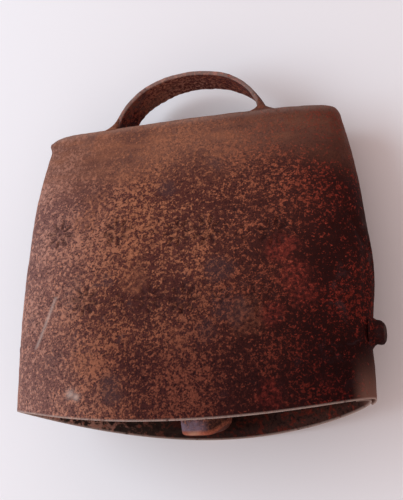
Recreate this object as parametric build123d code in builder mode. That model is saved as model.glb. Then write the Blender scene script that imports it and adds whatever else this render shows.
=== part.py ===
"""Sheet-iron cowbell lying on its back, with a collar loop and a hanging clapper (millimetres)."""

import math
import os
from build123d import *

os.makedirs("parts", exist_ok=True)

# Bell body. Its own directions are x across, y from the front face to the back, and height from
# mouth to crown.
mouth_half_width = 48.0
crown_half_width = 40.4
front_depth_mouth = 15.6  # mid-plane to the middle of the front lip
back_depth_mouth = 24.8  # to the front half's form, which the back half sits inside
crown_half_depth = 6.9
bell_height = 82.0
sheet = 1.2
lap_gap = 0.1  # between the two sheets where they lap
crown_bevel = 1.2
lip_rise = 5.8  # the lips arch: their sides stand this far above their middles
back_straight = 55.0  # the back is straight up to this height, then curves in to the crown
lean = 8.0  # degrees by which the bell's axis leans when its straight back lies on a table
lap_front = 5.5  # the front half wraps round each side as far as this
lap_back = -4.0  # the back half goes under the front half as far as this
section_heights = [0, 28, 55, 70]

# Rivets through the side laps. The right one keeps its tall head, and the left one is hammered nearly flush.
rivet_height = 22.5
rivet_y = 1.0
rivet_shank_radius = 1.75
rivet_hole_radius = 1.8
rivet_head_radius = 3.3
rivet_head_height = 3.2
flush_head_radius = 2.6
flush_head_height = 0.3
rivet_clinch_radius = 3.0
rivet_clinch_height = 1.3

# Collar loop: a flat strap bent to half an ellipse, its ends pushed through the crown and bent outwards.
loop_half_width = 21.2
loop_height = 14.7
strap_width = 9.2
strap_thickness = 1.2
foot_length = 6.0
braze_reach = 3.6
braze_height = 3.6

# Hanger: a wire staple through the crown, its bottom run across the bell.
staple_wire = 1.5  # radius
staple_half_span = 6.5
staple_drop = 7.6  # from the underside of the crown to the wire's axis
staple_bend = 2.4
peen_radius = 2.6  # the wire's ends are hammered into low buttons on the crown
peen_height = 0.9
staple_hole = 1.65

# Link between the staple and the clapper.
link_wire = 1.25  # radius
link_half_width = 4.0
link_bend = 2.6
play = 0.35  # between a wire and the eye round it
link_length = 8.5  # from the staple's axis to the axis of the link's bottom run

# Clapper: a forged bar with a punched eye and a flattened, swollen end.
clapper_hang = 12.8  # degrees from the bell's axis, towards the back, when the bell lies down
eye_wire = 1.4
clapper_length = 72.9  # from the staple's axis to the end of the bar
rod_radius_top = 2.1
rod_radius_low = 2.9
knob_half_width = 7.2
knob_half_depth = 5.3
knob_length = 17.0


def leaning(angle, origin):
    """Plane whose x is the row's X and whose normal leans by an angle below the row's +Y."""
    turn = math.radians(angle)
    return Plane(origin=origin, x_dir=(1, 0, 0), z_dir=(0, math.cos(turn), -math.sin(turn)))


def across(plane):
    """Plane of (x, height) in the bell, facing the front."""
    return Plane(origin=plane.origin, x_dir=plane.x_dir, z_dir=-plane.y_dir)


def lengthwise(plane):
    """Plane of (y, height) in the bell."""
    return Plane(origin=plane.origin, x_dir=plane.y_dir, z_dir=plane.x_dir)


# The table is at Z = 0, and the footprint of bell and loop has its middle at the origin.
lean_sine = math.sin(math.radians(lean))
lean_cosine = math.cos(math.radians(lean))
back_inset = sheet + lap_gap
lowest_depth = back_depth_mouth - back_inset
mouth_end = -lowest_depth * lean_sine
loop_end = (bell_height + loop_height) * lean_cosine + strap_width / 2 * lean_sine
middle_x = -(rivet_head_height - flush_head_height) / 2  # off centre, as the right rivet stands out
bell = leaning(lean, (middle_x, -(mouth_end + loop_end) / 2, lowest_depth * lean_cosine))


def half_width(height):
    return mouth_half_width - (mouth_half_width - crown_half_width) * (height / bell_height) ** 3.5


def front_depth(height):
    return front_depth_mouth - (front_depth_mouth - crown_half_depth) * (height / bell_height) ** 2.2


def back_depth(height):
    straight_end = back_depth_mouth - bell_height * math.tan(math.radians(lean))
    curved = (max(height - back_straight, 0) / (bell_height - back_straight)) ** 2
    straight = back_depth_mouth - height * math.tan(math.radians(lean))
    return straight - (straight_end - crown_half_depth) * curved


def section(height, inset):
    """The bell's section: four quarter curves, lens-like at the mouth and box-like at the crown."""
    t = height / bell_height
    wide = 0.42 + 0.52 * t  # how long each quarter stays level with the front or back
    deep = 0.45 + 0.43 * t  # how long it stays level with the side
    a = half_width(height) - inset
    b = back_depth(height) - inset
    f = front_depth(height) - inset
    with BuildSketch(bell.offset(height)) as face:
        with BuildLine():
            Bezier((a, 0), (a, deep * b), (wide * a, b), (0, b))
            Bezier((0, b), (-wide * a, b), (-a, deep * b), (-a, 0))
            Bezier((-a, 0), (-a, -deep * f), (-wide * a, -f), (0, -f))
            Bezier((0, -f), (wide * a, -f), (a, -deep * f), (a, 0))
        make_face()
    return face.sketch


def body(inset):
    """Solid of the bell's whole form, set in from its outside by so many millimetres."""
    bevel = crown_bevel - 0.4 * inset
    top = bell_height - inset
    rim = section(top - bevel, inset)
    with BuildPart() as form:
        loft(sections=[section(height, inset) for height in section_heights] + [rim], ruled=True)
        loft(sections=[rim, section(top, inset + 0.75 * bevel)], ruled=True)
    return form.part


def slab(y_low, y_high):
    """Block that holds everything between two depths of the bell."""
    with BuildPart() as block:
        with BuildSketch(across(bell).offset(-y_high)):
            with Locations((0, bell_height / 2)):
                Rectangle(4 * mouth_half_width, 4 * bell_height)
        extrude(amount=y_high - y_low)
    return block.part


front_outside = body(0)
front_inside = body(sheet)
back_outside = body(back_inset)
back_inside = body(back_inset + sheet)

# What is cut from both halves: the arch of the lips, the crown's slots and holes, and the rivets' holes.
lip_end_x = 1.2 * mouth_half_width
lip_end_height = lip_rise * 1.2**2
with BuildPart() as lip_cut:
    with BuildSketch(across(bell)):
        with BuildLine():
            ThreePointArc((-lip_end_x, lip_end_height), (0, 0), (lip_end_x, lip_end_height))
            Polyline(
                (lip_end_x, lip_end_height),
                (lip_end_x, -lip_rise),
                (-lip_end_x, -lip_rise),
                (-lip_end_x, lip_end_height),
            )
        make_face()
    extrude(amount=2 * mouth_half_width, both=True)

with BuildPart() as crown_punch:
    with BuildSketch(bell.offset(bell_height - 10)):
        with GridLocations(2 * loop_half_width - strap_thickness, 0, 2, 1):
            Rectangle(strap_thickness, strap_width)
        with GridLocations(2 * staple_half_span, 0, 2, 1):
            Circle(staple_hole)
    extrude(amount=20)

with BuildPart() as side_punch:
    with BuildSketch(lengthwise(bell)):
        with Locations((rivet_y, rivet_height)):
            Circle(rivet_hole_radius)
    extrude(amount=2 * mouth_half_width, both=True)


with BuildPart() as front_shell:
    add(front_outside)
    add(front_inside, mode=Mode.SUBTRACT)
    add(slab(-2 * front_depth_mouth, lap_front), mode=Mode.INTERSECT)
    add(lip_cut, mode=Mode.SUBTRACT)
    add(crown_punch, mode=Mode.SUBTRACT)
    add(side_punch, mode=Mode.SUBTRACT)
front_shell.part.label = "front_shell"
export_step(front_shell.part, "parts/front_shell.step")

with BuildPart() as back_shell:
    add(back_outside)
    add(back_inside, mode=Mode.SUBTRACT)
    add(slab(lap_back, 2 * back_depth_mouth), mode=Mode.INTERSECT)
    add(lip_cut, mode=Mode.SUBTRACT)
    add(crown_punch, mode=Mode.SUBTRACT)
    add(side_punch, mode=Mode.SUBTRACT)
back_shell.part.label = "back_shell"
export_step(back_shell.part, "parts/back_shell.step")


# Rivets: a hammered head outside, a shank through both laps, and a flat clinch inside.
wall = half_width(rivet_height)
rivet_base = bell.from_local_coords((0, rivet_y, rivet_height))
for side, name, head_radius, head_height in (
    (1, "side_rivet_right", rivet_head_radius, rivet_head_height),
    (-1, "side_rivet_left", flush_head_radius, flush_head_height),
):
    outward = Plane(origin=rivet_base, x_dir=bell.y_dir, z_dir=bell.x_dir * side)
    clinch_end = wall - back_inset - sheet - rivet_clinch_height
    with BuildPart() as clinch:
        with BuildSketch(outward.offset(clinch_end)):
            Circle(rivet_clinch_radius)
        extrude(amount=2 * sheet)
        add(back_inside, mode=Mode.INTERSECT)
    with BuildPart() as rivet:
        with BuildSketch(outward.offset(wall - 2)):
            Circle(head_radius)
        extrude(amount=2 + head_height)
        crown = rivet.faces().sort_by(Axis(rivet_base, outward.z_dir))[-1]
        fillet(crown.edges(), radius=0.6 * head_height)
        add(front_outside, mode=Mode.SUBTRACT)
        add(clinch)
        with BuildSketch(outward.offset(clinch_end)):
            Circle(rivet_shank_radius)
        extrude(amount=wall + head_height / 2 - clinch_end)
    rivet.part.label = name
    export_step(rivet.part, f"parts/{name}.step")

# Collar loop.
foot_top = bell_height - back_inset - sheet
leg = loop_half_width - strap_thickness / 2
foot_middle = foot_top - strap_thickness / 2
with BuildPart() as strap_loop:
    with BuildSketch(across(bell)) as loop_outline:
        with Locations((0, bell_height)):
            Ellipse(loop_half_width, loop_height)
            Ellipse(loop_half_width - strap_thickness, loop_height - strap_thickness, mode=Mode.SUBTRACT)
        with Locations((0, bell_height - loop_height)):
            Rectangle(2 * loop_half_width + 1, 2 * loop_height, mode=Mode.SUBTRACT)
        for side in (1, -1):
            with Locations((side * leg, (bell_height + foot_top) / 2)):
                Rectangle(strap_thickness, bell_height - foot_top)
            with Locations((side * (leg - strap_thickness / 2 + foot_length / 2), foot_middle)):
                Rectangle(foot_length, strap_thickness)
    extrude(amount=strap_width / 2, both=True)
strap_loop.part.label = "strap_loop"
export_step(strap_loop.part, "parts/strap_loop.step")

# Brazing that fills the corner round each foot of the loop.
for side, name in ((1, "loop_braze_right"), (-1, "loop_braze_left")):
    with BuildPart() as braze:
        with BuildSketch(bell.offset(bell_height)) as braze_low:
            with Locations((side * leg, 0)):
                RectangleRounded(strap_thickness + 2 * braze_reach, strap_width + 2.4, 1.1)
        with BuildSketch(bell.offset(bell_height + braze_height)) as braze_high:
            with Locations((side * leg, 0)):
                RectangleRounded(strap_thickness + 0.8, strap_width + 0.8, 0.3)
        loft()
        add(strap_loop.part, mode=Mode.SUBTRACT)
        add(front_shell.part, mode=Mode.SUBTRACT)
    braze.part.label = name
    export_step(braze.part, f"parts/{name}.step")

# Hanger staple: a bent wire whose ends come up through the crown and are hammered into buttons.
staple_axis_height = foot_top - staple_drop
with BuildPart() as hanger_staple:
    with BuildLine(across(bell)) as staple_line:
        FilletPolyline(
            (-staple_half_span, bell_height),
            (-staple_half_span, staple_axis_height),
            (staple_half_span, staple_axis_height),
            (staple_half_span, bell_height),
            radius=staple_bend,
        )
    with BuildSketch(Plane(origin=staple_line.line @ 0, z_dir=staple_line.line % 0)):
        Circle(staple_wire)
    sweep()
    with BuildSketch(bell.offset(bell_height)):
        with GridLocations(2 * staple_half_span, 0, 2, 1):
            Circle(peen_radius)
    extrude(amount=peen_height, taper=25)
hanger_staple.part.label = "hanger_staple"
export_step(hanger_staple.part, "parts/hanger_staple.step")

# The link and the clapper hang from the staple's bottom run, in a plane that leans towards the back.
hung = leaning(lean - clapper_hang, bell.from_local_coords((0, 0, staple_axis_height)))
link_top = staple_wire + play + link_wire
with BuildPart() as clapper_link:
    with BuildLine(lengthwise(hung)) as link_line:
        FilletPolyline(
            (link_half_width, link_top),
            (link_half_width, -link_length),
            (-link_half_width, -link_length),
            (-link_half_width, link_top),
            close=True,
            radius=link_bend,
        )
    with BuildSketch(Plane(origin=link_line.line @ 0, z_dir=link_line.line % 0)):
        Circle(link_wire)
    sweep()
clapper_link.part.label = "clapper_link"
export_step(clapper_link.part, "parts/clapper_link.step")

eye_inner = link_wire + play
eye_outer = eye_inner + 2 * eye_wire
knob_top = -(clapper_length - knob_length)
with BuildPart() as clapper:
    with BuildSketch(across(hung).offset(-eye_wire)):
        with Locations((0, -link_length)):
            Circle(eye_outer)
    extrude(amount=2 * eye_wire)
    fillet(clapper.edges().filter_by(GeomType.CIRCLE), radius=0.9)
    with BuildSketch(hung.offset(-link_length - eye_outer + 1.2)):
        Circle(rod_radius_top)
    with BuildSketch(hung.offset(knob_top)):
        Circle(rod_radius_low)
    loft()
    with BuildSketch(hung.offset(knob_top)):
        Circle(rod_radius_low)
    with BuildSketch(hung.offset(knob_top - 0.4 * knob_length)):
        Ellipse(0.86 * knob_half_width, 0.9 * knob_half_depth)
    with BuildSketch(hung.offset(knob_top - 0.8 * knob_length)):
        Ellipse(knob_half_width, knob_half_depth)
    with BuildSketch(hung.offset(-clapper_length)):
        Ellipse(0.94 * knob_half_width, 0.84 * knob_half_depth)
    loft()
    with BuildSketch(across(hung).offset(-2 * eye_wire)):
        with Locations((0, -link_length)):
            Circle(eye_inner)
    extrude(amount=4 * eye_wire, mode=Mode.SUBTRACT)
clapper.part.label = "clapper"
export_step(clapper.part, "parts/clapper.step")
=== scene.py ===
import math
import random
import bpy
import numpy as np
from mathutils import Matrix, Vector, noise


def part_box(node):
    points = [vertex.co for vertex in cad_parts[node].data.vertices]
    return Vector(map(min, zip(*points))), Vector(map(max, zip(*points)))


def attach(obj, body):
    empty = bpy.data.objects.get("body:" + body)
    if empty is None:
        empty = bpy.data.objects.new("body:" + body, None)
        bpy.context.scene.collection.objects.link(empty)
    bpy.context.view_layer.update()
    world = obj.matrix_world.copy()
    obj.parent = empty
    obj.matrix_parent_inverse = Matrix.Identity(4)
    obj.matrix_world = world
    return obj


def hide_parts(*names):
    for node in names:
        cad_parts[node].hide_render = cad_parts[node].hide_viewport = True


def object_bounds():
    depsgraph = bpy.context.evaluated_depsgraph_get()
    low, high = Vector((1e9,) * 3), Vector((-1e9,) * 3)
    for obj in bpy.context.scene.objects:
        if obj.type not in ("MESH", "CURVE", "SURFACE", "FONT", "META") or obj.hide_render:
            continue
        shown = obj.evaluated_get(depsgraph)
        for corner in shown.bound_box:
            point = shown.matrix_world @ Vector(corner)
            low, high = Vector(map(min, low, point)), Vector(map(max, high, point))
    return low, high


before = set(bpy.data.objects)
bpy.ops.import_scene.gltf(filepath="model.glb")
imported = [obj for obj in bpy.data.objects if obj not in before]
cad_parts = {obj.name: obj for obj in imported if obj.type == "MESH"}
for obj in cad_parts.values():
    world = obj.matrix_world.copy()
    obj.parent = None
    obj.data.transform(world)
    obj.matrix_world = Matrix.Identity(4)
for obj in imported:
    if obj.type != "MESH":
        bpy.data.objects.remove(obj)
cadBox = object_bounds()
scene = bpy.context.scene
scene.view_settings.view_transform = "Standard"
print("frame loaded")

# The bell's own directions are across, towards the back, and up from mouth to crown.
bell = {
    "lean": math.radians(8.0),     # how far its axis leans when its straight back lies on the table
    "height": 0.082,
    "halfWidth": 0.048,
    "crownHalfWidth": 0.0404,
    "frontDepth": 0.0156,
    "backDepth": 0.0248,
    "crownDepth": 0.0069,
    "straightBack": 0.055,         # the back is straight up to here
    "sheet": 0.0012,
    "backInset": 0.0013,           # the back half sits inside the front half by this much
    "lipRise": 0.0058,
    "lapFront": 0.0055,
    "lapBack": -0.004,
    "crownRound": 0.0012,
}

acrossDir = Vector((1, 0, 0))
backDir = Vector((0, -math.sin(bell["lean"]), -math.cos(bell["lean"])))
upDir = Vector((0, math.cos(bell["lean"]), -math.sin(bell["lean"])))
restDepth = bell["backDepth"] - bell["backInset"]
backLow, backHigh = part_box("back_shell")
bellOrigin = Vector((
    (backLow[0] + backHigh[0]) / 2,
    backLow[1] + restDepth * math.sin(bell["lean"]),
    restDepth * math.cos(bell["lean"]),
))


def place(x, y, height):
    return bellOrigin + acrossDir * x + backDir * y + upDir * height


def placeAll(local):
    # rows of (x, y, height) turned into rows of places
    turn = np.array([acrossDir, backDir, upDir])
    return np.asarray(local) @ turn + np.array(bellOrigin)


view = {
    "from": (0.0909, -0.2485, -0.0334),   # in the bell's directions
    "turn": math.radians(19.47),
    "tilt": math.radians(16.94),
    "roll": math.radians(0.98),
    "sensor": 36.0,
    "lens": 75.24,
}


def makeCamera():
    turn, tilt, roll = view["turn"], view["tilt"], view["roll"]
    look = Vector((-math.sin(turn) * math.cos(tilt), math.cos(turn) * math.cos(tilt), math.sin(tilt)))
    side = Vector((math.cos(turn), math.sin(turn), 0))
    top = side.cross(look)
    right = side * math.cos(roll) + top * math.sin(roll)
    above = top * math.cos(roll) - side * math.sin(roll)
    axes = [acrossDir * v.x + backDir * v.y + upDir * v.z for v in (right, above, -look)]
    data = bpy.data.cameras.new("camera")
    data.sensor_width = view["sensor"]
    data.lens = view["lens"]
    data.clip_start = 0.01
    camera = bpy.data.objects.new("camera", data)
    scene.collection.objects.link(camera)
    camera.matrix_world = Matrix.Translation(place(*view["from"])) @ Matrix(axes).transposed().to_4x4()
    scene.camera = camera


light = {
    "key": {"at": (-0.58, 0.10, 0.46), "size": 0.66, "power": 5.0, "colour": (0.70, 0.89, 1.0)},
    "fill": {"at": (0.10, -0.65, 0.45), "size": 0.5, "power": 0.3, "colour": (1.0, 0.93, 0.9)},
    "room": (0.67, 0.52, 0.49),
    "roomPower": 1.08,
    "table": (0.80, 0.81, 0.84),
}


def makeLight(name, spec):
    data = bpy.data.lights.new(name, "AREA")
    data.size = spec["size"]
    data.energy = spec["power"]
    data.color = spec["colour"]
    lamp = bpy.data.objects.new(name, data)
    scene.collection.objects.link(lamp)
    lamp.location = spec["at"]
    lamp.rotation_euler = (Vector((0, 0, 0.01)) - lamp.location).to_track_quat("-Z", "Y").to_euler()


def makeTable():
    bpy.ops.object.select_all(action="DESELECT")
    bpy.ops.mesh.primitive_plane_add(size=6.0, location=(0, 0, cadBox[0][2]))
    table = bpy.context.object
    table.name = "table"
    paint = bpy.data.materials.new("table")
    paint.use_nodes = True
    shader = paint.node_tree.nodes["Principled BSDF"]
    shader.inputs["Base Color"].default_value = (*light["table"], 1)
    shader.inputs["Roughness"].default_value = 0.75
    shader.inputs["Specular IOR Level"].default_value = 0.2
    table.data.materials.append(paint)


def makeRoom():
    world = bpy.data.worlds.new("room")
    world.use_nodes = True
    world.node_tree.nodes["Background"].inputs["Color"].default_value = (*light["room"], 1)
    world.node_tree.nodes["Background"].inputs["Strength"].default_value = light["roomPower"]
    scene.world = world


makeCamera()
makeLight("keyLight", light["key"])
makeLight("fillLight", light["fill"])
makeTable()
makeRoom()
print("camera, light and table made")


# Short ways to add and join shader nodes.
class Nodes:
    def __init__(self, material):
        self.tree = material.node_tree
        self.coords = self.add("ShaderNodeTexCoord").outputs["Object"]

    def add(self, kind, inputs=None, **settings):
        node = self.tree.nodes.new(kind)
        for key, value in settings.items():
            setattr(node, key, value)
        for key, value in (inputs or {}).items():
            if isinstance(value, bpy.types.NodeSocket):
                self.tree.links.new(value, node.inputs[key])
            else:
                node.inputs[key].default_value = value
        return node

    def noise(self, size, detail=3.0, rough=0.6, warp=0.0, offset=(0, 0, 0), stretch=(1, 1, 1)):
        # blotches about size metres across
        placed = {"Vector": self.coords, "Location": offset, "Scale": stretch}
        spot = self.add("ShaderNodeMapping", placed)
        settings = {"Scale": 0.5 / size, "Detail": detail, "Roughness": rough, "Distortion": warp}
        settings["Vector"] = spot.outputs[0]
        return self.add("ShaderNodeTexNoise", settings).outputs["Fac"]

    def ramp(self, value, low, high):
        node = self.add(
            "ShaderNodeMapRange",
            {"Value": value, "From Min": low, "From Max": high},
            interpolation_type="SMOOTHSTEP",
        )
        return node.outputs[0]

    def mix(self, amount, first, second, blend="MIX"):
        node = self.add("ShaderNodeMix", data_type="RGBA", blend_type=blend)
        for socket, value in ((0, amount), (6, first), (7, second)):
            if isinstance(value, bpy.types.NodeSocket):
                self.tree.links.new(value, node.inputs[socket])
            elif socket == 0:
                node.inputs[0].default_value = value
            else:
                node.inputs[socket].default_value = (*value, 1)
        return node.outputs[2]

    def maths(self, kind, first, second=0.0):
        return self.add("ShaderNodeMath", {0: first, 1: second}, operation=kind).outputs[0]

    def times(self, first, second):
        return self.maths("MULTIPLY", first, second)

    def attribute(self, name):
        return self.add("ShaderNodeAttribute", attribute_name=name).outputs["Fac"]

    def blob(self, centre, radius, ragged):
        # soft patch round a place, its edge broken by noise
        apart = self.add("ShaderNodeVectorMath", {0: self.coords, 1: tuple(centre)}, operation="DISTANCE")
        reach = self.maths("ADD", self.times(apart.outputs["Value"], 1 / radius), self.times(ragged, 1.5))
        return self.ramp(reach, 1.75, 1.15)


# The front's colours run from left to right as painted light and shade: lighter and dustier on the lit
# left, nearly black on the shaded right. Part of the change is real dust and rust.
rustLook = {
    "left": (0.225, 0.108, 0.090),     # dust on the left side, and painted light there: the colours darken through middle to right as painted shade
    "dustAndSheen": (0.42, 0.215, 0.165),
    "middle": (0.098, 0.030, 0.023),
    "right": (0.028, 0.0058, 0.0048),
    "band": (0.190, 0.082, 0.055),     # smoother and more orange, under the crown
    "orange": (0.310, 0.118, 0.062),
    "bright": (0.50, 0.185, 0.095),
    "red": (0.165, 0.022, 0.014),
    "redBright": (0.34, 0.050, 0.034),
    "dark": (0.020, 0.0075, 0.0075),
    "scale": (0.058, 0.036, 0.040),
    "worn": (0.42, 0.32, 0.28),
    "speck": 0.00052,
    "contrast": 0.92,
    "pits": 0.00022,
    "regions": True,
}

# Stains scattered over the front face, in metres across and up.
rustPatches = {
    "scale": {
        "count": 9,
        "across": (-0.030, 0.028),
        "up": (0.008, 0.078),
        "radius": (0.0035, 0.0055),
        "seed": 6,
    },
    "orange": {
        "count": 6,
        "across": (-0.036, 0.020),
        "up": (0.015, 0.062),
        "radius": (0.0050, 0.0065),
        "seed": 8,
    },
    "red": {
        "count": 6,
        "across": (0.023, 0.041),
        "up": (0.006, 0.050),
        "radius": (0.0040, 0.0060),
        "seed": 12,
    },
}


def scatter(spec):
    pick = random.Random(spec["seed"])
    spots = []
    for i in range(spec["count"]):
        x = pick.uniform(*spec["across"])
        height = pick.uniform(*spec["up"])
        spots.append((place(x, -bell["frontDepth"] * 0.85, height), pick.uniform(*spec["radius"])))
    return spots


def rustMaterial(name, **changes):
    look = dict(rustLook, **changes)
    material = bpy.data.materials.new(name)
    material.use_nodes = True
    shader = material.node_tree.nodes["Principled BSDF"]
    n = Nodes(material)

    speck = n.noise(look["speck"], detail=5.0, rough=0.66, warp=0.35)
    grain = n.noise(look["speck"] * 0.45, detail=3.0, rough=0.62, offset=(0.3, 0.1, 0.7))
    patch = n.noise(0.0075, detail=5.0, rough=0.62, offset=(0.11, 0.37, 0.05))
    broad = n.noise(0.024, detail=3.0, rough=0.5, offset=(0.71, 0.2, 0.4))
    flake = n.noise(0.0032, detail=5.0, rough=0.68, warp=0.4, offset=(0.5, 0.9, 0.3))
    streak = n.noise(0.0022, detail=4.0, rough=0.6, offset=(0.2, 0.8, 0.6), stretch=(0.30, 1.0, 1.0))

    axes = n.add("ShaderNodeSeparateXYZ", {"Vector": n.coords}).outputs
    if look["regions"]:
        wander = n.times(n.maths("SUBTRACT", broad, 0.5), 0.03)
        x = n.maths("ADD", axes["X"], wander)
        y = n.maths("ADD", axes["Y"], wander)
        fromLeft = n.ramp(x, -0.048, -0.012)
        toRight = n.ramp(x, -0.004, 0.040)
        crown = n.ramp(y, 0.010, 0.026)
        low = n.times(n.ramp(y, 0.005, -0.040), n.ramp(x, -0.034, -0.006))
        dustAndSheenStrip = n.times(n.ramp(axes["X"], 0.0415, 0.0450), n.ramp(y, -0.024, -0.046))
    else:
        fromLeft = n.ramp(broad, 0.30, 0.60)
        toRight = n.ramp(broad, 0.45, 0.70)
        crown = n.ramp(patch, 0.52, 0.72)
        low = 0.0
        dustAndSheenStrip = 0.0

    # painted light and shade: lighter to the left, very dark to the right, and the band under the crown
    # darkened to the right as well
    body = n.mix(fromLeft, look["left"], look["middle"])
    body = n.mix(toRight, body, look["right"])
    bandTone = n.mix(n.times(toRight, 0.42), look["band"], look["right"])
    body = n.mix(n.times(crown, 0.85), body, bandTone)
    body = n.mix(n.times(n.ramp(patch, 0.60, 0.36), 0.50), body, (0.50, 0.42, 0.47), blend="MULTIPLY")

    # orange speckle, thicker in some patches than in others, and dark grains between it
    calm = n.maths("SUBTRACT", 1.0, n.times(crown, 0.45))
    thin = n.times(toRight, 0.055)
    lifted = n.maths("ADD", speck, n.times(n.maths("SUBTRACT", patch, 0.5), 0.40))
    lifted = n.maths("ADD", lifted, n.times(n.maths("SUBTRACT", grain, 0.5), 0.45))
    lifted = n.maths("SUBTRACT", lifted, thin)
    speckMask = n.ramp(lifted, 0.46, 0.60)
    # the speckle colour follows the same painted light: dust with painted sheen on the left, darker red on
    # the shaded right
    warm = n.mix(toRight, n.mix(fromLeft, look["dustAndSheen"], look["orange"]), look["red"])
    body = n.mix(n.times(n.times(speckMask, calm), look["contrast"]), body, warm)
    grainMask = n.times(n.ramp(grain, 0.56, 0.72), n.ramp(lifted, 0.42, 0.60))
    glow = n.mix(toRight, look["bright"], look["redBright"])
    body = n.mix(n.times(n.times(grainMask, calm), 0.95), body, glow)
    pitMask = n.times(n.ramp(grain, 0.50, 0.36), n.ramp(speck, 0.62, 0.42))
    body = n.mix(n.times(n.times(pitMask, calm), 0.88), body, look["dark"])
    streaked = n.times(crown, n.ramp(streak, 0.42, 0.66))
    streaked = n.times(streaked, n.maths("SUBTRACT", 0.40, n.times(toRight, 0.30)))
    body = n.mix(streaked, body, look["orange"])

    # blue-grey mill scale, and larger stains of rust
    scaleMask = n.times(n.ramp(flake, 0.56, 0.66), n.ramp(broad, 0.42, 0.58))
    if look["regions"]:
        for kind, colour, strength in (("orange", look["orange"], 0.50), ("red", look["redBright"], 0.40)):
            for centre, radius in scatter(rustPatches[kind]):
                spot = n.blob(centre, radius, flake)
                body = n.mix(n.times(n.times(spot, n.ramp(speck, 0.36, 0.62)), strength), body, colour)
        for centre, radius in scatter(rustPatches["scale"]):
            spot = n.blob(centre, radius, flake)
            scaleMask = n.maths("MAXIMUM", scaleMask, spot)
    body = n.mix(n.times(scaleMask, 0.34), body, look["scale"])

    # darker towards the mouth, and dust with painted sheen on the strip beyond the flap's crease
    body = n.mix(n.times(low, 0.9), body, (0.42, 0.30, 0.36), blend="MULTIPLY")
    body = n.mix(n.times(dustAndSheenStrip, 0.40), body, look["dustAndSheen"])

    # rubbed edges and scratches, and painted shade in the punched marks, on and under the rivet heads and
    # on the clapper end's shaded side; the strap's feet are darkened too
    wearNoise = n.ramp(n.noise(0.0010, detail=4.0, rough=0.7, offset=(0.9, 0.4, 0.2)), 0.24, 0.46)
    body = n.mix(n.times(n.attribute("wear"), wearNoise), body, look["worn"])
    body = n.mix(n.times(n.attribute("sunkAndShade"), 0.68), body, look["dark"])
    n.tree.links.new(body, shader.inputs["Base Color"])

    rough = n.maths("ADD", n.times(speckMask, 0.12), 0.70)
    rough = n.maths("SUBTRACT", rough, n.times(scaleMask, 0.14))
    n.tree.links.new(rough, shader.inputs["Roughness"])
    shader.inputs["Specular IOR Level"].default_value = 0.05

    height = n.maths("ADD", n.times(speckMask, 0.40), n.times(grain, 0.65))
    height = n.maths("ADD", height, n.times(flake, 0.8))
    bump = n.add("ShaderNodeBump", {"Height": height, "Distance": look["pits"], "Strength": 0.85})
    n.tree.links.new(bump.outputs[0], shader.inputs["Normal"])
    return material


def quarter(depth, halfWidth, wide, deep, t):
    # quarter curve from the middle of a face (t 0) to the side (t 1): x and how far out
    s = 1 - t
    x = 3 * s * s * t * wide * halfWidth + 3 * s * t * t * halfWidth + t ** 3 * halfWidth
    y = s ** 3 * depth + 3 * s * s * t * depth + 3 * s * t * t * deep * depth
    return x, y


def bellPoint(s, height, inset):
    # s is 0 at the front's middle, -1 and 1 at the sides, -2 and 2 at the back's middle
    k = np.clip(height / bell["height"], 0, 1)
    halfWidth = bell["halfWidth"] - (bell["halfWidth"] - bell["crownHalfWidth"]) * k ** 3.5 - inset
    front = bell["frontDepth"] - (bell["frontDepth"] - bell["crownDepth"]) * k ** 2.2 - inset
    slope = math.tan(bell["lean"])
    straight = bell["backDepth"] - bell["height"] * slope
    curved = np.clip((height - bell["straightBack"]) / (bell["height"] - bell["straightBack"]), 0, 1) ** 2
    back = bell["backDepth"] - height * slope - (straight - bell["crownDepth"]) * curved - inset
    wide = 0.42 + 0.52 * k
    deep = 0.45 + 0.43 * k
    t = np.abs(s)
    xf, yf = quarter(front, halfWidth, wide, deep, np.minimum(t, 1))
    xb, yb = quarter(back, halfWidth, wide, deep, np.clip(2 - t, 0, 1))
    onFront = t <= 1
    return np.sign(s) * np.where(onFront, xf, xb), np.where(onFront, -yf, yb)


def lapEnd(height, inset, lap):
    # where along the section the sheet ends, beyond the side
    s = np.linspace(0.4, 1.9, 600)
    y = bellPoint(s, np.full_like(s, height), inset)[1]
    return s[np.argmin(np.abs(y - lap))]


def smoothNoise(points, size, seed):
    shift = Vector((seed * 7.13, seed * 3.71, seed * 1.37))
    return np.array([noise.noise(Vector(p) / size + shift) for p in points])


def setAttribute(piece, name, values):
    layer = piece.data.attributes.new(name, "FLOAT", "POINT")
    layer.data.foreach_set("value", np.asarray(values, np.float32))


def activate(piece):
    bpy.ops.object.select_all(action="DESELECT")
    piece.select_set(True)
    bpy.context.view_layer.objects.active = piece


def applyModifier(piece, kind, **settings):
    activate(piece)
    modifier = piece.modifiers.new(kind.lower(), kind)
    for key, value in settings.items():
        setattr(modifier, key, value)
    bpy.ops.object.modifier_apply(modifier=modifier.name)


def cleanMesh(piece, gap=0.00002):
    activate(piece)
    bpy.ops.object.mode_set(mode="EDIT")
    bpy.ops.mesh.select_all(action="SELECT")
    bpy.ops.mesh.remove_doubles(threshold=gap)
    bpy.ops.mesh.normals_make_consistent(inside=False)
    bpy.ops.object.mode_set(mode="OBJECT")


def readPlaces(piece):
    flat = np.zeros(len(piece.data.vertices) * 3, np.float32)
    piece.data.vertices.foreach_get("co", flat)
    return flat.reshape(-1, 3).astype(float)


def writePlaces(piece, places):
    piece.data.vertices.foreach_set("co", np.asarray(places, np.float32).ravel())
    piece.data.update()


def finishPiece(piece, body, nodes, material=None, angle=50):
    if material:
        piece.data.materials.append(material)
    activate(piece)
    bpy.ops.object.shade_smooth_by_angle(angle=math.radians(angle))
    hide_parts(*nodes)
    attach(piece, body)


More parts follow.
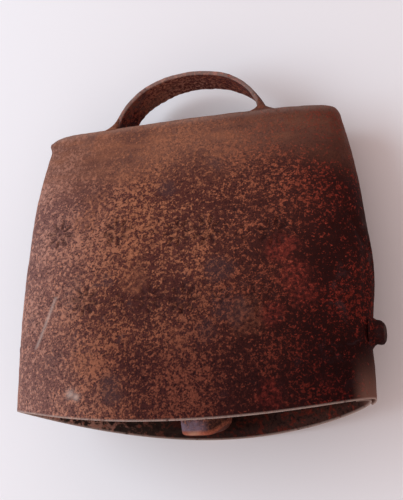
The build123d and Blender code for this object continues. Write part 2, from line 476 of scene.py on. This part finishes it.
# A flat grid of that many rows and columns, and each point's row and column on it.
def addGrid(name, rows, columns):
    bpy.ops.object.select_all(action="DESELECT")
    bpy.ops.mesh.primitive_grid_add(x_subdivisions=columns - 1, y_subdivisions=rows - 1, size=1)
    piece = bpy.context.object
    piece.name = name
    piece.data.name = name
    flat = readPlaces(piece)
    column = np.rint((flat[:, 0] + 0.5) * (columns - 1)).astype(int)
    row = np.rint((flat[:, 1] + 0.5) * (rows - 1)).astype(int)
    return piece, row, column


halfShell = {
    "front": {"columns": 236, "inset": 0.0, "lap": bell["lapFront"], "middle": 0.0},
    "back": {"columns": 200, "inset": bell["backInset"], "lap": bell["lapBack"], "middle": 2.0},
    "wallRows": 140,
    "roundRows": 7,
    "crownRows": 12,
    "lipThin": 0.26,         # the lip's thickness, as a share of the sheet's
    "lipTaper": 0.0022,
}


# Places (x, y, height) of one half's outside, row by row from the lip to the crown's far edge.
def shellGrid(spec):
    columns = spec["columns"] + 1
    heights = np.linspace(0, bell["height"], 30)
    onFront = spec["middle"] == 0.0
    spread = []
    for h in heights:
        end = lapEnd(h, spec["inset"], spec["lap"])
        s = np.linspace(-end, end, 801) if onFront else np.linspace(end, 4 - end, 801)
        x, y = bellPoint(np.where(s > 2, s - 4, s), np.full_like(s, h), spec["inset"])
        run = np.concatenate([[0], np.cumsum(np.hypot(np.diff(x), np.diff(y)))])
        spread.append(np.interp(np.linspace(0, run[-1], columns), run, s))
    spread = np.array(spread)

    def point(height, inset):
        s = np.array([np.interp(h, heights, spread[:, j]) for j, h in enumerate(height)])
        return bellPoint(np.where(s > 2, s - 4, s), height, inset)

    top = bell["height"] - spec["inset"]
    bend = bell["crownRound"] - 0.4 * spec["inset"]
    lipX = point(np.full(columns, 0.003), spec["inset"])[0]
    lip = bell["lipRise"] * (lipX / bell["halfWidth"]) ** 2
    rows = []
    for v in np.linspace(0, 1, halfShell["wallRows"]):
        height = lip + (top - bend - lip) * v
        x, y = point(height, spec["inset"])
        rows.append(np.stack([x, y, height], 1))
    flat = np.full(columns, top - bend)
    for k in range(1, halfShell["roundRows"] + 1):
        angle = math.pi / 2 * k / halfShell["roundRows"]
        x, y = point(flat, spec["inset"] + bend * (1 - math.cos(angle)))
        rows.append(np.stack([x, y, flat + bend * math.sin(angle)], 1))
    edge = rows[-1]
    reach = bell["crownHalfWidth"] - 0.0075
    farX = np.clip(edge[:, 0], -reach, reach)
    target = np.stack([farX, np.full(columns, spec["lap"] * 0.98), edge[:, 2]], 1)
    for k in range(1, halfShell["crownRows"] + 1):
        rows.append(edge + (target - edge) * k / halfShell["crownRows"])
    return np.array(rows)


# Punched ornament on the front: suns of short rays, and clusters of dots.
ornament = {
    "rows": [
        {"height": 0.0485, "fall": -0.085, "from": -0.0330, "to": 0.0265, "marks": "s.s.ss.s"},
        {"height": 0.0305, "fall": -0.045, "from": -0.0335, "to": 0.0230, "marks": ".s.ss.s"},
    ],
    "size": 0.0036,         # half a mark's height
    "rays": 8,
    "stroke": 0.00042,      # half a stroke's width
    "depth": 0.00042,
    "lift": 0.00012,        # metal pushed up beside a stroke
}


def strokeDistance(mark, x, y):
    # how far each place is from the nearest stroke of a mark
    r = ornament["size"]
    if mark == "s":
        step = 2 * math.pi / ornament["rays"]
        angle = np.arctan2(y, x)
        off = angle - np.round(angle / step) * step
        along, beside = np.hypot(x, y) * np.cos(off), np.hypot(x, y) * np.sin(off)
        ray = np.hypot(along - np.clip(along, 0.50 * r, r), beside)
        return np.minimum(ray, np.hypot(x, y))
    dots = [(0.42 * r, 0.0), (-0.42 * r, 0.0), (0.0, 0.42 * r), (0.0, -0.42 * r)]
    return np.min([np.hypot(x - dx, y - dy) for dx, dy in dots], axis=0)


def punchAmount(x, height):
    # depth of the punched marks (0 to 1) and the lifted rims beside them
    sunkAndShade = np.zeros_like(x)
    lift = np.zeros_like(x)
    pick = random.Random(41)
    for row in ornament["rows"]:
        count = len(row["marks"])
        for i, mark in enumerate(row["marks"]):
            cx = row["from"] + (row["to"] - row["from"]) * i / (count - 1) + pick.uniform(-1, 1) * 0.0005
            cy = row["height"] + row["fall"] * cx + pick.uniform(-1, 1) * 0.0005
            turn = pick.uniform(-0.3, 0.3)
            weight = pick.uniform(0.6, 1.0)
            dx, dy = x - cx, height - cy
            rx = dx * math.cos(turn) + dy * math.sin(turn)
            ry = dy * math.cos(turn) - dx * math.sin(turn)
            gap = strokeDistance(mark, rx, ry)
            near = np.hypot(dx, dy) < 1.6 * ornament["size"]
            cut = np.clip(1 - gap / (ornament["stroke"] * 1.8), 0, 1)
            sunkAndShade = np.maximum(sunkAndShade, np.where(near, weight * cut * cut * (3 - 2 * cut), 0))
            rise = np.exp(-((gap - ornament["stroke"] * 2.1) / (ornament["stroke"] * 0.9)) ** 2)
            lift = np.maximum(lift, np.where(near, weight * rise, 0))
    return sunkAndShade, lift


def bumpAt(x, height, cx, cy, rx, ry):
    return np.exp(-((x - cx) / rx) ** 2 - ((height - cy) / ry) ** 2)


# How the front half is knocked out of true. Dents are how far out, x, height, and half width and height.
hammering = {
    "dents": [
        (-0.00040, -0.018, 0.071, 0.010, 0.006),
        (-0.00035, 0.021, 0.063, 0.012, 0.009),
        (-0.00045, -0.036, 0.024, 0.008, 0.010),
        (0.00040, 0.004, 0.016, 0.016, 0.010),
    ],
    "earOut": 0.0011,        # the folded corner at the crown's left
    "creaseDeep": 0.00085,   # the fold in front of the right flap
    "creaseWide": 0.0009,
    "frontWaves": [(0.00030, 0.022, 1), (0.00010, 0.0065, 2), (0.00006, 0.0017, 3)],
    "backWaves": [(0.00022, 0.024, 5), (0.00009, 0.0065, 6), (0.00006, 0.0017, 7)],
}


def waves(local, rows):
    # noise of several sizes: how far, how large and which seed
    total = 0.0
    for far, size, seed in rows:
        total = total + far * smoothNoise(local, size, seed)
    return total


# Returns moved places and how deep the punched marks are; that depth is also painted into the marks as
# shade.
def frontShape(local, outward):
    x, y, height = local[:, 0], local[:, 1], local[:, 2]
    onFace = (y < 0) & (height < bell["height"] - bell["crownRound"])
    sunkAndShade, lift = punchAmount(x, height)
    sunkAndShade, lift = sunkAndShade * onFace, lift * onFace
    dents = 0.0
    for far, cx, cy, rx, ry in hammering["dents"]:
        dents = dents + far * bumpAt(x, height, cx, cy, rx, ry)
    right = np.clip((x - 0.038) / 0.006, 0, 1)
    sway = 0.0007 * np.exp(-((height - 0.040) / 0.010) ** 2)
    sway = sway - 0.0006 * np.exp(-((height - 0.021) / 0.007) ** 2)
    creaseX = 0.0466 - 0.36 * np.maximum(height - 0.044, 0)
    crease = bumpAt(x - creaseX, height, 0, 0.043, hammering["creaseWide"], 0.013) * (y < 0)
    ear = hammering["earOut"] * bumpAt(x, height, -0.0405, 0.0800, 0.0016, 0.0012)
    amount = dents - hammering["creaseDeep"] * crease + ear
    amount = amount + lift * ornament["lift"] - sunkAndShade * ornament["depth"]
    amount = amount + waves(local, hammering["frontWaves"])
    moved = local + outward * amount[:, None]
    moved[:, 0] += right * sway
    return moved, sunkAndShade


def backShape(local, outward):
    # inwards only, so the bell's straight back still lies on the table
    amount = waves(local, hammering["backWaves"])
    return local + outward * np.minimum(amount, 0.0)[:, None], np.zeros(len(local))


def gridNormals(rows):
    out = np.cross(np.gradient(rows, axis=1), np.gradient(rows, axis=0))
    return out / np.maximum(np.linalg.norm(out, axis=2, keepdims=True), 1e-12)


wornMarks = {
    "lip": 0.85,
    "lipWide": 0.00020,
    "scratchFoot": -0.034,       # x at the height of scratchAt
    "scratchAt": 0.032,
    "scratchSlope": 0.5,
    "scratchHeights": (0.021, 0.034),
    "spots": [(-0.027, 0.008, 0.0012, 0.0010), (-0.025, 0.007, 0.0009, 0.0008)],
}


def makeShell(name, spec, shape):
    rows = shellGrid(spec)
    height, columns = rows.shape[0], rows.shape[1]
    local = rows.reshape(-1, 3)
    moved, sunkAndShade = shape(local, gridNormals(rows).reshape(-1, 3))
    piece, row, column = addGrid(name, height, columns)
    index = row * columns + column
    writePlaces(piece, placeAll(moved)[index])
    x, up = local[index, 0], local[index, 2]
    fromLip = up - bell["lipRise"] * (x / bell["halfWidth"]) ** 2
    lapEdge = np.minimum(column, columns - 1 - column) * 0.0005
    lipWear = wornMarks["lip"] * np.exp(-(fromLip / wornMarks["lipWide"]) ** 2)
    lapWear = 0.35 * np.exp(-(lapEdge / 0.0005) ** 2)
    crownWear = 0.20 * np.exp(-((up - bell["height"] + 0.0006) / 0.0010) ** 2)
    scratchX = wornMarks["scratchFoot"] - wornMarks["scratchSlope"] * (wornMarks["scratchAt"] - up)
    low, high = wornMarks["scratchHeights"]
    onFront = (spec["middle"] == 0.0) * (up > low) * (up < high)
    scratch = 0.60 * np.exp(-((x - scratchX) / 0.0005) ** 2) * onFront
    spots = 0.0
    for spot in wornMarks["spots"]:
        spots = spots + bumpAt(x, up, *spot)
    spots = 0.8 * spots * (local[index, 1] < 0)
    wear = np.maximum.reduce([lipWear, lapWear, crownWear, scratch, spots])
    setAttribute(piece, "wear", wear)
    setAttribute(piece, "sunkAndShade", sunkAndShade[index])
    thin = piece.vertex_groups.new(name="thickness")
    share = np.round(np.clip(fromLip / halfShell["lipTaper"], 0, 1), 2)
    for value in np.unique(share):
        thin.add([int(i) for i in np.flatnonzero(share == value)], float(value), "REPLACE")
    cleanMesh(piece)
    piece.data.materials.append(bellRust)
    piece.data.materials.append(insideRustPaintedShade)
    applyModifier(
        piece,
        "SOLIDIFY",
        thickness=bell["sheet"],
        offset=-1,
        material_offset=1,
        vertex_group="thickness",
        thickness_vertex_group=halfShell["lipThin"],
    )
    return piece


bellRust = rustMaterial("bellRust")
# The inside faces are rust painted as shade: nearly black on the left, where the front half shadows the
# inside, and lighter to the right.
insideRustPaintedShade = rustMaterial(
    "insideRustPaintedShade",
    left=(0.016, 0.013, 0.011),
    middle=(0.040, 0.026, 0.019),
    right=(0.115, 0.062, 0.040),
    orange=(0.085, 0.026, 0.016),
    red=(0.26, 0.052, 0.030),
    redBright=(0.38, 0.080, 0.045),
    bright=(0.16, 0.040, 0.024),
    scale=(0.030, 0.036, 0.030),
    speck=0.0011,
)
print("bell rust mixed")

frontShell = makeShell("frontShell", halfShell["front"], frontShape)
finishPiece(frontShell, "bell", ["front_shell"])
backShell = makeShell("backShell", halfShell["back"], backShape)
finishPiece(backShell, "bell", ["back_shell"])
print("sheet halves made")


strap = {
    "halfWidth": 0.0212,
    "rise": 0.0152,
    "width": 0.0100,
    "thickness": 0.0011,
    "foot": 0.0060,
    "ragged": 0.00055,       # how uneven the back edge is
}


# The strap's middle line as (x, height), evenly spaced, from the tip of one foot to the other.
def strapLine(count):
    gap = strap["thickness"] / 2
    legX, rise = strap["halfWidth"] - gap, strap["rise"] - gap
    footUp = bell["height"] - bell["backInset"] - bell["sheet"] - 0.0006
    angles = np.linspace(math.pi, 0, 200)
    arch = np.stack([legX * np.cos(angles), bell["height"] + rise * np.sin(angles)], 1)
    bend = 0.0009
    turn = np.linspace(0, math.pi / 2, 12)
    corner = np.stack([-legX - bend + bend * np.sin(turn), footUp + bend - bend * np.cos(turn)], 1)
    tip = np.array([[-legX - strap["foot"] + gap, footUp]])
    left = np.concatenate([tip, corner])
    right = left[::-1] * (-1, 1)
    line = np.concatenate([left, arch, right])
    run = np.concatenate([[0], np.cumsum(np.hypot(*np.diff(line, axis=0).T))])
    even = np.linspace(0, run[-1], count)
    return np.stack([np.interp(even, run, line[:, 0]), np.interp(even, run, line[:, 1])], 1)


def makeStrap():
    lengthCount, widthCount = 260, 30
    line = strapLine(lengthCount)
    along = np.gradient(line, axis=0)
    along /= np.linalg.norm(along, axis=1, keepdims=True)
    out = np.stack([-along[:, 1], along[:, 0]], 1)
    piece, row, column = addGrid("strapLoop", widthCount, lengthCount)
    v = row / (widthCount - 1) - 0.5
    edgeNoise = smoothNoise(np.stack([line[:, 0], line[:, 1], np.zeros(lengthCount)], 1), 0.0022, 11)
    above = np.clip((line[:, 1] - bell["height"]) / 0.003, 0, 1)
    ragged = (edgeNoise * strap["ragged"] * above)[column] * np.clip(v * 2, 0, 1)
    y = v * strap["width"] + np.abs(ragged)
    local = np.stack([line[column, 0], y, line[column, 1]], 1)
    normal = np.stack([out[column, 0], np.zeros(len(v)), out[column, 1]], 1)
    amount = 0.00022 * smoothNoise(local, 0.006, 12) + 0.00008 * smoothNoise(local, 0.0016, 13)
    cup = 0.00030 * (1 - (2 * v) ** 2) * above[column]
    local += normal * (amount * np.maximum(above[column], 0.2) + cup - 0.00030)[:, None]
    writePlaces(piece, placeAll(local))
    edge = np.exp(-((0.5 - np.abs(v)) / 0.03) ** 2)
    setAttribute(piece, "wear", 0.35 * edge * above[column])
    setAttribute(piece, "sunkAndShade", 0.6 * (1 - above[column]))
    cleanMesh(piece)
    applyModifier(piece, "SOLIDIFY", thickness=strap["thickness"], offset=0)
    sharp = math.radians(50)
    applyModifier(piece, "BEVEL", width=0.0003, segments=2, limit_method="ANGLE", angle_limit=sharp)
    cleanMesh(piece, 0.000005)
    return piece


loopRust = rustMaterial(
    "loopRust",
    regions=False,
    left=(0.17, 0.052, 0.036),
    middle=(0.125, 0.020, 0.016),
    right=(0.030, 0.009, 0.008),
    band=(0.12, 0.075, 0.062),
    red=(0.26, 0.034, 0.024),
    orange=(0.30, 0.085, 0.042),
)
finishPiece(makeStrap(), "bell", ["strap_loop"], loopRust)
print("strap loop made")


braze = {
    "left": {
        "side": -1,
        "outReach": 0.0042,
        "inReach": 0.0004,
        "height": 0.0050,
        "inHeight": 0.0009,
    },
    "right": {
        "side": 1,
        "outReach": 0.0068,
        "inReach": 0.0062,
        "height": 0.0046,
        "inHeight": 0.0036,
    },
    "rings": 18,
    "around": 48,
    "power": 2.3,            # how hollow the slope is
    "frontReach": 0.0016,
}


# A hollow-sloped mound of brazing round one leg, drawn up from a filled circle ring by ring.
def makeBraze(name, spec):
    legX = spec["side"] * (strap["halfWidth"] - strap["thickness"] / 2)
    bpy.ops.object.select_all(action="DESELECT")
    bpy.ops.mesh.primitive_circle_add(vertices=braze["around"], radius=1.0, fill_type="NGON")
    piece = bpy.context.object
    piece.name = name
    piece.data.name = name
    bpy.ops.object.mode_set(mode="EDIT")
    bpy.ops.mesh.select_all(action="SELECT")
    for k in range(braze["rings"]):
        bpy.ops.mesh.extrude_region_move(TRANSFORM_OT_translate={"value": (0, 0, 1)})
    bpy.ops.object.mode_set(mode="OBJECT")
    raw = readPlaces(piece)
    k = raw[:, 2] / braze["rings"]
    cosine, sine = raw[:, 0], raw[:, 1]
    boxX = np.sign(cosine) * np.abs(cosine) ** 0.55     # a rounded oblong rather than a circle
    boxY = np.sign(sine) * np.abs(sine) ** 0.55
    slope = (1 - k) ** braze["power"]
    outside = np.sign(cosine) == spec["side"]
    reach = np.where(outside, spec["outReach"], spec["inReach"])
    x = legX + boxX * (strap["thickness"] / 2 + 0.0001 + reach * slope)
    y = boxY * (strap["width"] / 2 + 0.0001 + braze["frontReach"] * slope)
    outer = np.clip(0.5 + spec["side"] * boxX, 0, 1)
    lean = k * (spec["inHeight"] + (spec["height"] - spec["inHeight"]) * outer)
    inward = strap["halfWidth"] * (1 - np.sqrt(1 - np.minimum(lean / strap["rise"], 0.9) ** 2))
    local = np.stack([x - spec["side"] * inward, y, bell["height"] - 0.0004 + lean], 1)
    local[:, 0] += 0.00016 * smoothNoise(local, 0.0022, 21 + spec["side"]) * (k > 0)
    local[:, 2] += 0.00012 * smoothNoise(local, 0.0030, 24 + spec["side"]) * (k > 0)
    writePlaces(piece, placeAll(local))
    setAttribute(piece, "wear", np.zeros(len(k)))
    setAttribute(piece, "sunkAndShade", np.zeros(len(k)))
    cleanMesh(piece, 0.000005)
    return piece


for name, node in (("left", "loop_braze_left"), ("right", "loop_braze_right")):
    piece = makeBraze("braze" + name.capitalize(), braze[name])
    finishPiece(piece, "bell", [node], bellRust, angle=70)
print("brazes made")


# A piece drawn out of a disc along +Z: each ring is how far along, and its half sizes.
def drawOut(name, rings, around=56):
    bpy.ops.object.select_all(action="DESELECT")
    start = (0, 0, rings[0][0])
    bpy.ops.mesh.primitive_circle_add(vertices=around, radius=1.0, fill_type="NGON", location=start)
    piece = bpy.context.object
    piece.name = name
    piece.data.name = name
    bpy.ops.object.transform_apply(location=True, rotation=False, scale=False)
    bpy.ops.object.mode_set(mode="EDIT")
    bpy.ops.mesh.select_all(action="SELECT")
    bpy.ops.transform.resize(value=(rings[0][1], rings[0][2], 1), center_override=(0, 0, 0))
    for before, after in zip(rings, rings[1:]):
        bpy.ops.mesh.extrude_region_move(TRANSFORM_OT_translate={"value": (0, 0, after[0] - before[0])})
        scale = (after[1] / before[1], after[2] / before[2], 1)
        bpy.ops.transform.resize(value=scale, center_override=(0, 0, 0))
    bpy.ops.mesh.select_all(action="SELECT")
    bpy.ops.mesh.normals_make_consistent(inside=False)
    bpy.ops.object.mode_set(mode="OBJECT")
    return piece


rivet = {
    "height": 0.0225,
    "y": 0.0010,
    "right": {"side": 1, "radius": 0.0030, "rise": 0.0028, "skirt": 0.0016},
    "left": {"side": -1, "radius": 0.0025, "rise": 0.0003, "skirt": 0.0004},
    "clinchRadius": 0.0030,
    "clinchRise": 0.0013,
    "shank": 0.00175,
    "uneven": 0.00034,
}


# Clinch, shank, drawn skirt and hammered head, drawn out along the rivet and then laid sideways.
def makeRivet(name, spec):
    wall = bell["halfWidth"]
    inner = wall - bell["backInset"] - bell["sheet"]
    low = inner - rivet["clinchRise"]
    rings = [(low, 0.4 * rivet["clinchRadius"]), (low + 0.0001, 0.8 * rivet["clinchRadius"])]
    rings += [(low + 0.0005, rivet["clinchRadius"]), (inner, rivet["clinchRadius"])]
    rings += [(inner + 0.0001, rivet["shank"]), (wall - 0.0012, rivet["shank"])]
    for k in range(8):
        u = k / 7
        along = wall - 0.0011 + (0.0011 + 0.28 * spec["rise"]) * u
        rings.append((along, spec["radius"] + spec["skirt"] * (1 - u) ** 2))
    for k in range(9):
        angle = math.pi / 2 * k / 9
        along = wall + spec["rise"] * (0.36 + 0.64 * math.sin(angle))
        rings.append((along, spec["radius"] * max(math.cos(angle), 0.05) ** 0.62))
    piece = drawOut(name, [(z, r, r) for z, r in rings])
    applyModifier(piece, "SUBSURF", levels=1, render_levels=1)
    raw = readPlaces(piece)
    far = np.clip((raw[:, 2] - wall) / spec["rise"], 0, 1)
    local = np.stack([spec["side"] * raw[:, 2], rivet["y"] + raw[:, 0], rivet["height"] + raw[:, 1]], 1)
    hit = smoothNoise(local, 0.0026, 31)[:, None] * rivet["uneven"]
    hit = hit + smoothNoise(local, 0.0009, 32)[:, None] * 0.0001
    middle = np.array([0, rivet["y"], rivet["height"]])
    away = (local - middle) * (0, 1, 1)
    away /= np.maximum(np.linalg.norm(away, axis=1, keepdims=True), 1e-6)
    local += away * hit * far[:, None]
    if spec["rise"] > 0.002:
        local[:, 2] -= 0.0005 * far          # a tall head sags a little towards the mouth
    local[:, 0] -= spec["side"] * 0.10 * far * np.abs(smoothNoise(local, 0.0022, 33)) * spec["rise"]
    writePlaces(piece, placeAll(local))
    # painted shade over the rivet head, heaviest on its underside
    under = np.clip((rivet["height"] - local[:, 2]) / 0.003 + 0.5, 0, 1)
    shade = np.clip(far * 3, 0, 1) * (0.55 + 0.45 * under)
    setAttribute(piece, "wear", 0.12 * (far > 0.9))
    setAttribute(piece, "sunkAndShade", shade)
    cleanMesh(piece, 0.000005)
    return piece


for name in ("right", "left"):
    piece = makeRivet("sideRivet" + name.capitalize(), rivet[name])
    finishPiece(piece, "bell", ["side_rivet_" + name], bellRust, angle=60)
print("rivets made")


clapper = {
    "hang": math.radians(12.8),      # from the bell's axis towards the back
    "stapleDrop": 0.0076,
    "link": 0.0085,
    "eyeInner": 0.0016,
    "eyeWire": 0.0014,
    "rodTop": 0.0021,
    "rodLow": 0.0029,
    "length": 0.0729,
    "knobLength": 0.0170,
    "knobHalfWidth": 0.0072,
    "knobHalfDepth": 0.0053,
    "square": 0.52,                  # how square the knob's section is: 1 is round
    "uneven": 0.00022,
}


# The eye is a bent ring, and the rod and knob are drawn out below it. Both hang in the clapper's own plane.
def makeClapper():
    middle = clapper["eyeInner"] + clapper["eyeWire"]
    bpy.ops.object.select_all(action="DESELECT")
    bpy.ops.mesh.primitive_torus_add(
        major_radius=middle,
        minor_radius=clapper["eyeWire"],
        major_segments=56,
        minor_segments=22,
        location=(0, 0, clapper["link"]),
        rotation=(math.pi / 2, 0, 0),
    )
    eye = bpy.context.object
    bpy.ops.object.transform_apply(location=True, rotation=True, scale=True)
    top = clapper["link"] + middle + 0.4 * clapper["eyeWire"]
    knobTop = clapper["length"] - clapper["knobLength"]
    rings = [(top, clapper["rodTop"], clapper["rodTop"])]
    for k in range(1, 25):
        t = k / 24
        r = clapper["rodTop"] + (clapper["rodLow"] - clapper["rodTop"]) * t
        rings.append((top + (knobTop - top) * t, r, r))
    for k in range(1, 21):
        t = k / 20
        swell = 1 - (1 - min(t / 0.75, 1)) ** 2
        ease = 1 - 0.06 * max(t - 0.75, 0) / 0.25
        wide = clapper["rodLow"] + (clapper["knobHalfWidth"] * ease - clapper["rodLow"]) * swell
        deep = clapper["rodLow"] + (clapper["knobHalfDepth"] * ease - clapper["rodLow"]) * swell
        rings.append((knobTop + (clapper["length"] - 0.0007 - knobTop) * t, wide, deep))
    z, wide, deep = rings[-1]
    rings += [(z + 0.0004, wide * 0.975, deep * 0.965), (z + 0.0007, wide * 0.90, deep * 0.87)]
    rings += [(z + 0.0007, wide * 0.60, deep * 0.55), (z + 0.00065, wide * 0.25, deep * 0.22)]
    piece = drawOut("clapperForging", rings, around=72)
    activate(piece)
    eye.select_set(True)
    bpy.ops.object.join()
    raw = readPlaces(piece)
    along = np.clip((raw[:, 2] - knobTop) / (0.5 * clapper["knobLength"]), 0, 1)
    angle = np.arctan2(raw[:, 1], raw[:, 0])
    power = clapper["square"]
    radius = (np.abs(np.cos(angle)) ** (2 / power) + np.abs(np.sin(angle)) ** (2 / power)) ** (-power / 2)
    stretch = 1 + (np.minimum(radius, 1.14) - 1) * along * 0.75
    raw[:, 0] *= stretch
    raw[:, 1] *= stretch
    rough = smoothNoise(raw, 0.006, 41) * clapper["uneven"] + smoothNoise(raw, 0.0018, 42) * 0.00007
    rough = -np.abs(rough)          # inwards only, so the swing keeps its room
    away = raw * (1, 1, 0)
    away /= np.maximum(np.linalg.norm(away, axis=1, keepdims=True), 1e-6)
    raw += away * rough[:, None] * (raw[:, 2] > top)[:, None]
    x, z = raw[:, 0].copy(), raw[:, 2].copy()
    nearEnd = np.clip((z - clapper["length"] + 0.006) / 0.003, 0, 1)
    raw[:, 2] -= 0.0034 * np.clip((x - 0.0012) / 0.0058, 0, 1) ** 2 * nearEnd
    origin = place(0, 0, bell["height"] - bell["backInset"] - bell["sheet"] - clapper["stapleDrop"])
    turn = bell["lean"] - clapper["hang"]
    down = np.array([0, -math.cos(turn), math.sin(turn)])
    across = np.array([1, 0, 0])
    depth = np.cross(down, across)
    writePlaces(piece, np.array(origin) + raw[:, :1] * across + raw[:, 1:2] * depth + raw[:, 2:] * down)
    # Painted light on the knob's end: a highlight along its bottom edge that fades to the right, a pale
    # highlight on that edge, the lit left side marked for purple-grey, and painted shadow on the right side
    # and the flat bottom.
    rimHighlight = np.exp(-((z - clapper["length"] + 0.0005) / 0.0004) ** 2)
    highlightFade = 1 - 0.7 * np.clip((x - 0.0005) / 0.005, 0, 1)
    setAttribute(piece, "rimHighlight", rimHighlight * highlightFade)
    side = nearEnd * (z < clapper["length"] - 0.0003) * (1 - rimHighlight)
    setAttribute(piece, "end", side * np.clip((0.0022 - x) / 0.0034, 0, 1))
    setAttribute(piece, "paleHighlight", rimHighlight * np.exp(-((x + 0.0022) / 0.0016) ** 2))
    setAttribute(piece, "wear", np.zeros(len(rimHighlight)))
    shaded = nearEnd * (1 - rimHighlight) * np.clip((x - 0.0005) / 0.002, 0, 1)
    setAttribute(piece, "sunkAndShade", np.maximum(shaded, z > clapper["length"] - 0.00015))
    cleanMesh(piece, 0.000005)
    return piece


def clapperMaterial():
    material = rustMaterial(
        "clapperRust",
        regions=False,
        left=(0.15, 0.060, 0.045),
        middle=(0.10, 0.038, 0.032),
        right=(0.045, 0.018, 0.017),
        band=(0.12, 0.055, 0.045),
    )
    n = Nodes(material)
    shader = material.node_tree.nodes["Principled BSDF"]
    rust = shader.inputs["Base Color"].links[0].from_socket
    # Painted light on the knob's end: purple-grey on its lit left side (partly struck metal), an orange
    # highlight along the bottom edge and a pale highlight on it.
    broken = n.ramp(n.noise(0.0016, detail=4.0, rough=0.7, offset=(0.4, 0.1, 0.9)), 0.30, 0.62)
    struckAndPaintedLight = n.mix(n.times(n.attribute("end"), broken), rust, (0.235, 0.165, 0.215))
    struckAndPaintedLight = n.mix(n.times(n.attribute("rimHighlight"), 0.80), struckAndPaintedLight, (0.52, 0.135, 0.070))
    struckAndPaintedLight = n.mix(n.times(n.attribute("paleHighlight"), 0.65), struckAndPaintedLight, (0.62, 0.40, 0.28))
    n.tree.links.new(struckAndPaintedLight, shader.inputs["Base Color"])
    return material


finishPiece(makeClapper(), "clapper", ["clapper"], clapperMaterial(), angle=50)
print("clapper made")

wireRust = rustMaterial("wireRust", regions=False, middle=(0.11, 0.045, 0.035), band=(0.13, 0.065, 0.045))
for name in ("hanger_staple", "clapper_link"):
    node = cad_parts[name]
    node.data.materials.clear()
    node.data.materials.append(wireRust)
print("wire parts finished")
